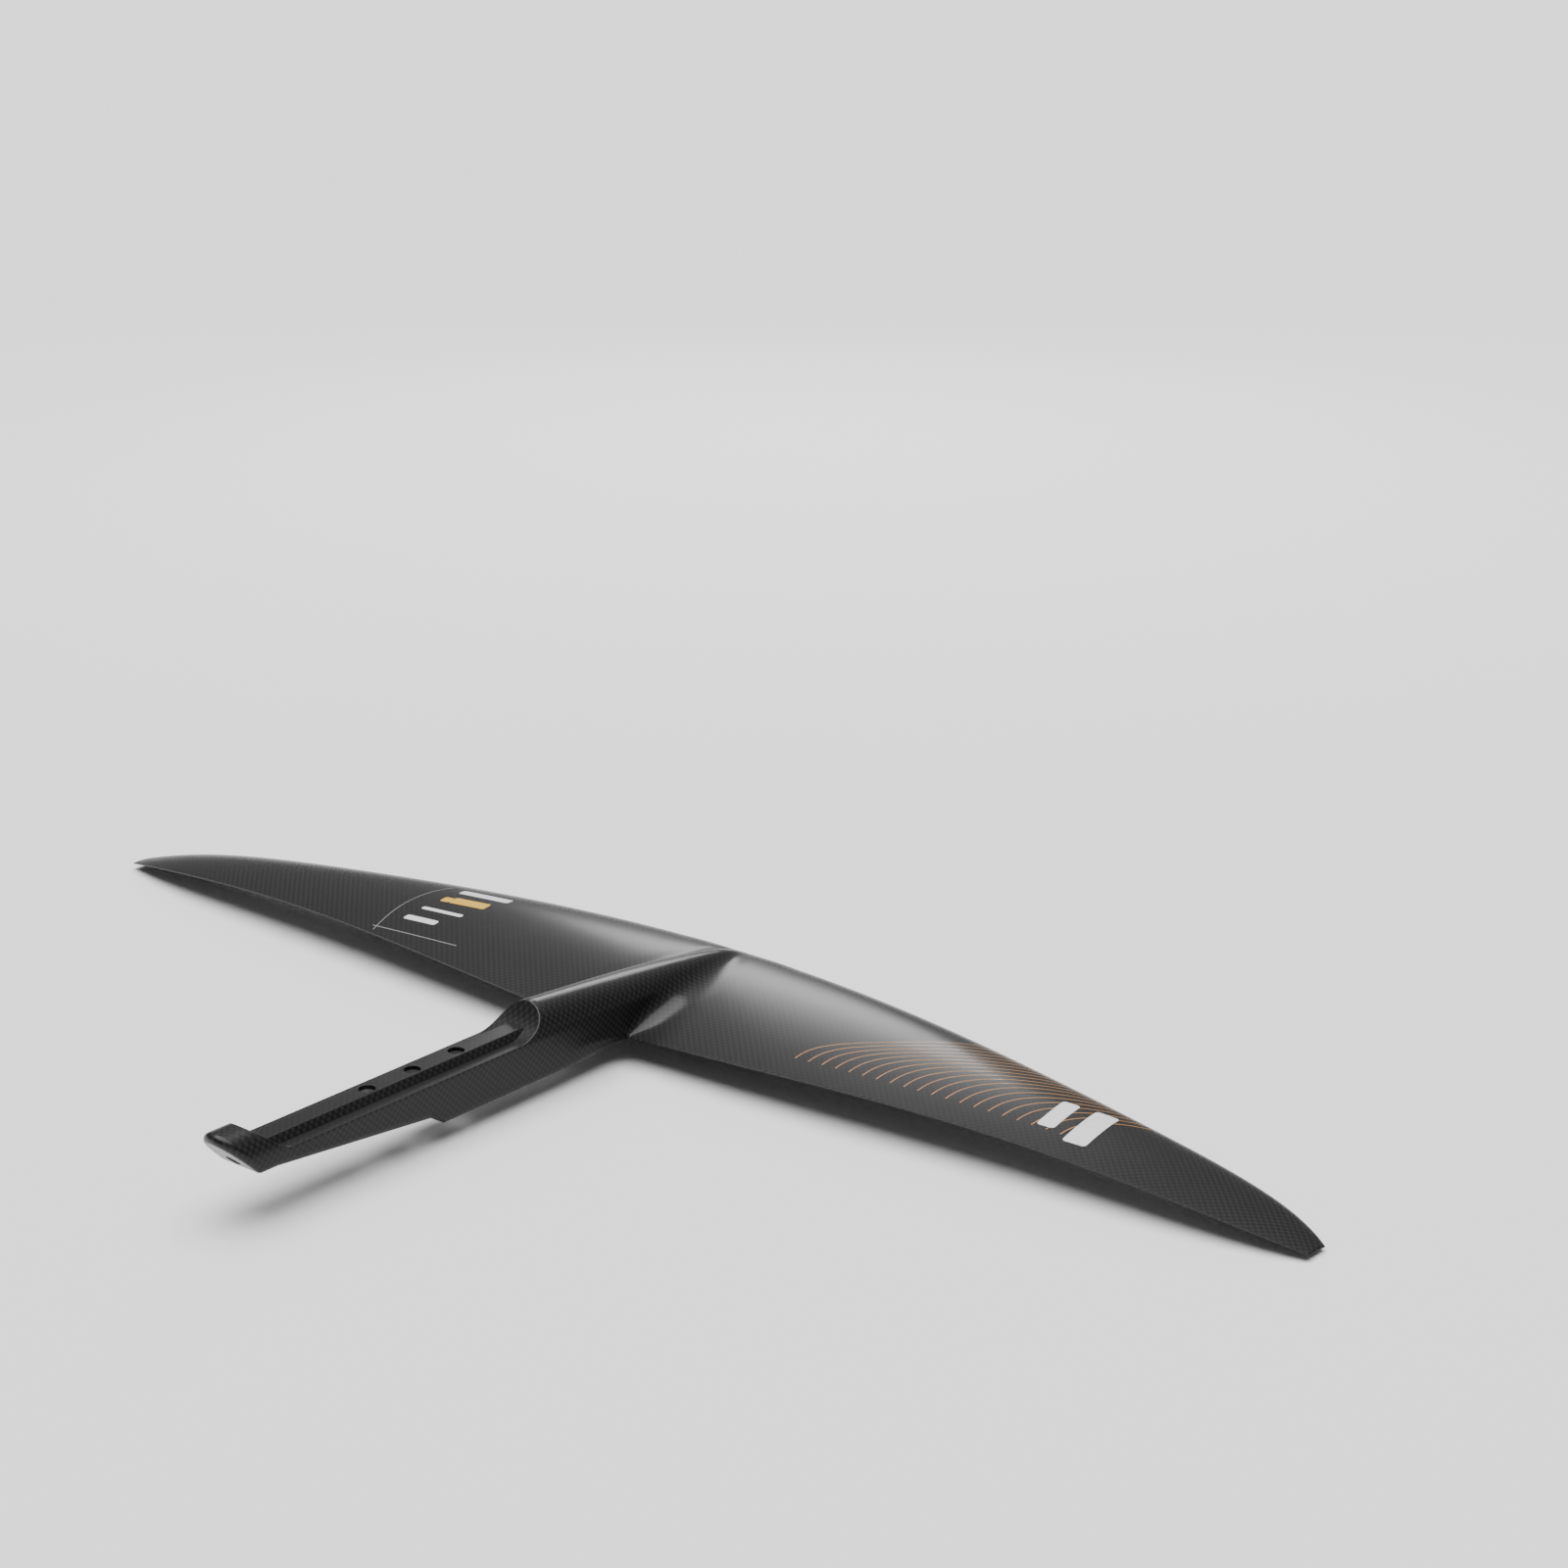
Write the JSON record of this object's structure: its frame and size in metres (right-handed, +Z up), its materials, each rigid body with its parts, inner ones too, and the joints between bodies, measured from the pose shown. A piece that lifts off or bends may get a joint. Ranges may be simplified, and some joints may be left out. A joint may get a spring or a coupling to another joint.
{
  "type": "hydrofoil front wing",
  "caption": "Carbon hydrofoil front wing with a faired centre, a ribbed mounting tongue with mast bolt holes, and a hooked tail end.",
  "frame": {"origin": "the middle mast bolt hole, on the flat top of the rib that the mast foot bolts down on", "axes": "+X along the span to the right wing tip, +Y forward to the leading edge, +Z up to the mast"},
  "size_m": [0.805, 0.3758, 0.0463],
  "materials": {
    "skin_carbon": "satin clear coat over plain-weave carbon cloth",
    "fairing_carbon": "satin clear coat over plain-weave carbon cloth",
    "tongue_carbon": "satin clear coat over plain-weave carbon cloth, moulded solid",
    "spar_carbon": "unidirectional carbon in resin, as moulded",
    "web_laminate": "diagonal carbon cloth in resin, as moulded",
    "filled_resin": "chopped carbon in resin, as moulded",
    "foam": "closed-cell structural foam",
    "sleeve_metal": "turned, anodised",
    "insert_metal": "turned stainless steel"
  },
  "bodies": {
    "root": {"upper_skin": "skin_carbon", "lower_skin": "skin_carbon", "spar_cap_upper": "spar_carbon", "spar_cap_lower": "spar_carbon", "shear_web": "web_laminate", "nose_tow_left": "spar_carbon", "nose_tow_right": "spar_carbon", "core_front_left": "foam", "core_front_right": "foam", "core_rear_left": "foam", "core_rear_right": "foam", "trailing_wedge_left": "filled_resin", "trailing_wedge_right": "filled_resin", "root_block_front": "filled_resin", "root_block_rear": "filled_resin", "fairing_shell": "fairing_carbon", "fairing_core": "foam", "tongue_block": "tongue_carbon", "mast_sleeves": "sleeve_metal", "tail_hook": "tongue_carbon", "tail_insert": "insert_metal"}
  },
  "joints": []
}
